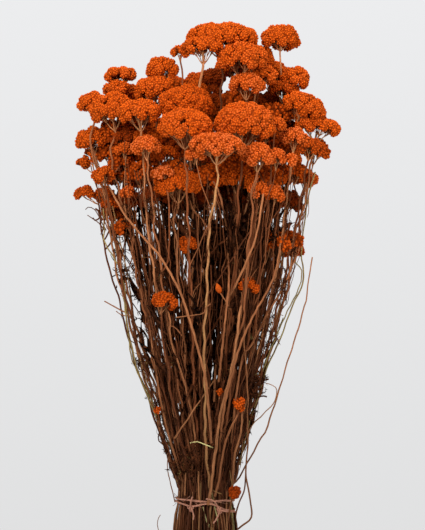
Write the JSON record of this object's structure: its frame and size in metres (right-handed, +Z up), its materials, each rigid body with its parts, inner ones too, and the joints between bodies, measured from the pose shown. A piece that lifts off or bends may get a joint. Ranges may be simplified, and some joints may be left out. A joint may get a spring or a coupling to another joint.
{
  "type": "dried lonas in vase",
  "caption": "Tied bunch of dried flat-topped orange flower heads on thin branching brown stems, standing in a plain round vase.",
  "frame": {"origin": "centre of the vase's flat underside", "axes": "+Z up along the bunch, the side that the picture shows faces -Y, +X to its right"},
  "size_m": [0.2926, 0.257, 0.728],
  "materials": {
    "stoneware": "matt off-white",
    "raffia": "dry pinkish-brown fibre",
    "stem": "dry, matt",
    "floret": "dry, matt, dyed orange"
  },
  "bodies": {
    "root": {"vase": "stoneware", "raffia_tie": "raffia", "stem_spray_01": "stem", "stem_spray_02": "stem", "stem_spray_03": "stem", "stem_spray_04": "stem", "stem_spray_05": "stem", "stem_spray_06": "stem", "stem_spray_07": "stem", "stem_spray_08": "stem", "stem_spray_09": "stem", "stem_spray_10": "stem", "stem_spray_11": "stem", "stem_spray_12": "stem", "flower_head_01": "floret", "flower_head_02": "floret", "flower_head_03": "floret", "flower_head_04": "floret", "flower_head_05": "floret", "flower_head_06": "floret", "flower_head_07": "floret", "flower_head_08": "floret", "flower_head_09": "floret", "flower_head_10": "floret", "flower_head_11": "floret", "flower_head_12": "floret", "flower_head_13": "floret", "flower_head_14": "floret", "flower_head_15": "floret", "flower_head_16": "floret", "flower_head_17": "floret", "flower_head_18": "floret", "flower_head_19": "floret", "flower_head_20": "floret", "flower_head_21": "floret", "flower_head_22": "floret", "flower_head_23": "floret", "flower_head_24": "floret", "flower_head_25": "floret", "flower_head_26": "floret", "flower_head_27": "floret", "flower_head_28": "floret", "flower_head_29": "floret", "flower_head_30": "floret", "flower_head_31": "floret", "flower_head_32": "floret", "flower_head_33": "floret", "flower_head_34": "floret", "flower_head_35": "floret", "flower_head_36": "floret", "flower_head_37": "floret", "flower_head_38": "floret", "flower_head_39": "floret", "flower_head_40": "floret", "flower_head_41": "floret", "flower_head_42": "floret", "flower_head_43": "floret", "flower_head_44": "floret", "flower_head_45": "floret", "flower_head_46": "floret"}
  },
  "joints": []
}
